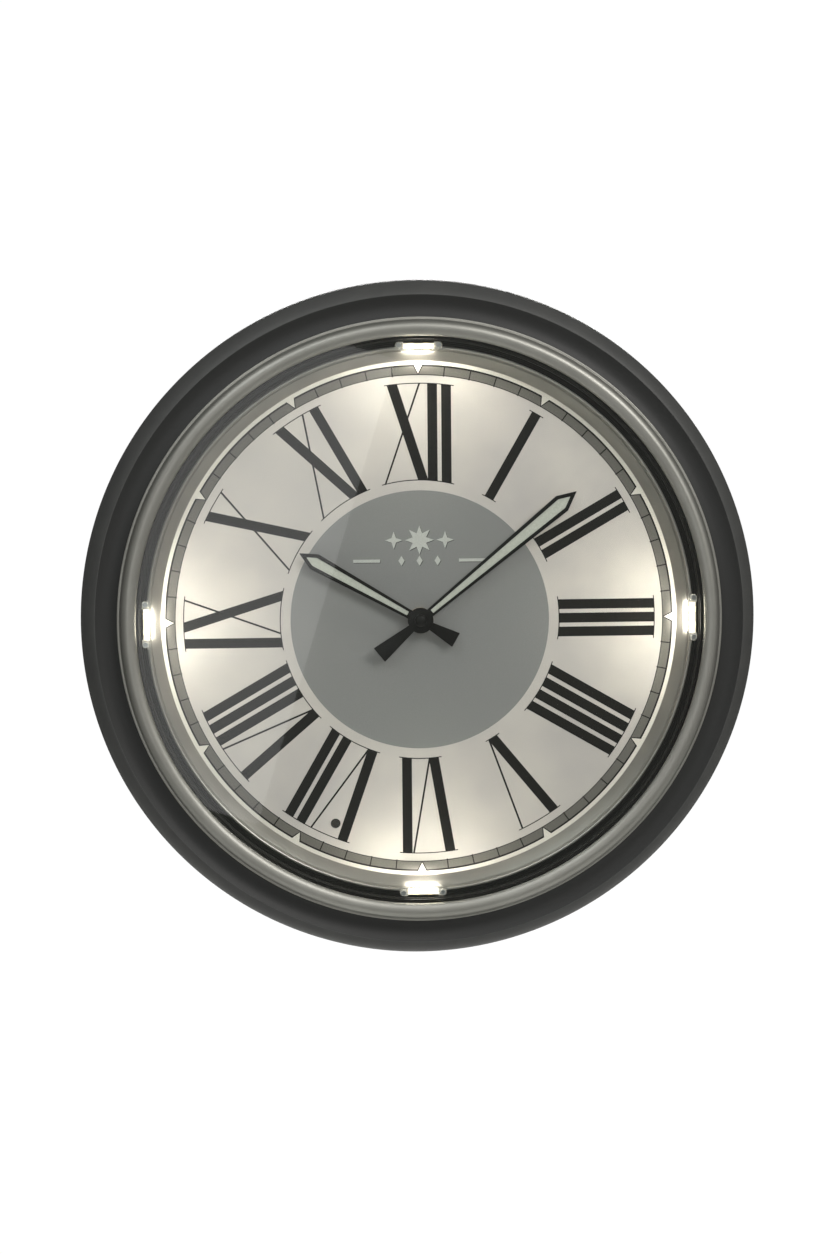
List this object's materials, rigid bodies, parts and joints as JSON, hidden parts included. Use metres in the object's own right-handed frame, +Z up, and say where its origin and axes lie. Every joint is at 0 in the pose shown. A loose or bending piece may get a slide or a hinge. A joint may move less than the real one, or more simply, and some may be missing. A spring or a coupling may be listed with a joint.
{
  "type": "wall clock",
  "caption": "Round wall clock with a domed ring case, glazed satin bezel, lit Roman dial, quartz movement, and a rear battery box and keyhole hanger.",
  "frame": {"origin": "on the axis of the hands, at the wall plane that the rear rim rests on", "axes": "+Y along the hands' axis towards the wall, so the dial faces -Y; +Z up through twelve; +X to the right seen from the front"},
  "size_m": [0.356, 0.044, 0.356],
  "materials": {
    "case_plastic": "charcoal moulded ABS, satin texture",
    "bezel_metal": "satin pewter metallic paint",
    "black_rubber": "black EPDM, matt",
    "clear_glass": "clear float glass",
    "reflector_silver": "satin vacuum-metallised silver",
    "dial_silver": "satin printed dial",
    "back_plastic": "fine-textured black ABS",
    "clear_plastic": "clear acrylic",
    "steel": "zinc-plated steel",
    "circuit_board": "solder-masked fibreglass board",
    "lamp_board": "white solder-masked board",
    "lamp": "lit warm white lamp",
    "flex": "PVC insulated flex",
    "sensor_face": "epoxy over the sensor track",
    "brass": "turned brass",
    "movement_plastic": "black moulded ABS",
    "wheel_plastic": "natural acetal",
    "copper_wire": "enamelled copper winding",
    "soft_iron": "laminated soft iron",
    "magnet": "sintered magnet",
    "cell_sleeve": "printed cell sleeve",
    "hand_black": "satin black enamel on steel",
    "lume": "pale luminous paint"
  },
  "bodies": {
    "root": {"case_ring": "case_plastic", "bezel_ring": "bezel_metal", "lens_gasket": "black_rubber", "front_glass": "clear_glass", "reflector_ring": "reflector_silver", "dial_plate": "dial_silver", "back_cover": "back_plastic", "hanger_plate": "steel", "hanger_screws": "steel", "case_screws": "steel", "bezel_screws": "steel", "led_covers": "clear_plastic", "led_boards": "lamp_board", "leds": "lamp", "led_screws": "steel", "led_wires": "flex", "sensor_holder": "black_rubber", "light_sensor": "sensor_face", "sensor_wires": "flex", "control_board": "circuit_board", "board_screws": "steel", "switch_body": "steel", "battery_wires": "flex", "battery_box": "back_plastic", "battery_contacts": "steel", "lamp_cells": "cell_sleeve", "box_screws": "steel", "movement_case": "movement_plastic", "movement_cover": "movement_plastic", "movement_screws": "steel", "movement_contacts": "steel", "movement_cell": "cell_sleeve", "centre_bush": "brass", "cushion_washer": "black_rubber", "dial_washer": "brass", "dial_nut": "brass", "quartz_board": "circuit_board", "quartz_crystal": "steel", "coil_core": "soft_iron", "coil_bobbin": "wheel_plastic", "coil_winding": "copper_wire", "stator": "soft_iron"},
    "minute": {"minute_hand": "hand_black", "minute_lume": "lume", "minute_pipe": "brass", "hand_nut": "hand_black"},
    "hour": {"hour_hand": "hand_black", "hour_lume": "lume", "hour_wheel": "wheel_plastic"},
    "setting": {"minute_wheel": "wheel_plastic", "setting_knob": "movement_plastic"},
    "seconds": {"seconds_wheel": "wheel_plastic"},
    "third": {"third_wheel": "wheel_plastic"},
    "centre": {"centre_wheel": "wheel_plastic"},
    "step": {"step_wheel": "wheel_plastic"},
    "rotor": {"rotor_pinion": "wheel_plastic", "rotor_magnet": "magnet"},
    "slider": {"switch_slider": "movement_plastic"},
    "door": {"battery_door": "back_plastic"}
  },
  "joints": [
    {"name": "minute_turn", "type": "hinge", "parent": "root", "child": "minute", "pos_m": [0, 0, 0], "axis": [0, 1, 0], "continuous": true},
    {"name": "hour_turn", "type": "hinge", "parent": "root", "child": "hour", "pos_m": [0, 0, 0], "axis": [0, 1, 0], "continuous": true},
    {"name": "setting_turn", "type": "hinge", "parent": "root", "child": "setting", "pos_m": [-0.00779, 0, 0.0045], "axis": [0, 1, 0], "continuous": true},
    {"name": "seconds_turn", "type": "hinge", "parent": "root", "child": "seconds", "pos_m": [0, 0, 0], "axis": [0, 1, 0], "continuous": true},
    {"name": "third_turn", "type": "hinge", "parent": "root", "child": "third", "pos_m": [0.00736, 0, 0.00425], "axis": [0, 1, 0], "continuous": true},
    {"name": "centre_turn", "type": "hinge", "parent": "root", "child": "centre", "pos_m": [0, 0, 0], "axis": [0, 1, 0], "continuous": true},
    {"name": "step_turn", "type": "hinge", "parent": "root", "child": "step", "pos_m": [0, 0, 0.00864], "axis": [0, 1, 0], "continuous": true},
    {"name": "rotor_turn", "type": "hinge", "parent": "root", "child": "rotor", "pos_m": [-0.00355, 0, 0.01625], "axis": [0, 1, 0], "continuous": true},
    {"name": "switch_slide", "type": "slide", "parent": "root", "child": "slider", "axis": [1, 0, 0], "range_m": [0, 0.003]},
    {"name": "door_lift", "type": "slide", "parent": "root", "child": "door", "axis": [0, 1, 0], "range_m": [0, 0.03]}
  ],
  "couplings": [
    {"joint": "hour_turn", "follows": "minute_turn", "ratio": 0.083333},
    {"joint": "setting_turn", "follows": "minute_turn", "ratio": -0.33333},
    {"joint": "third_turn", "follows": "seconds_turn", "ratio": -0.125},
    {"joint": "centre_turn", "follows": "seconds_turn", "ratio": 0.016667},
    {"joint": "step_turn", "follows": "seconds_turn", "ratio": -5},
    {"joint": "rotor_turn", "follows": "seconds_turn", "ratio": 30}
  ]
}
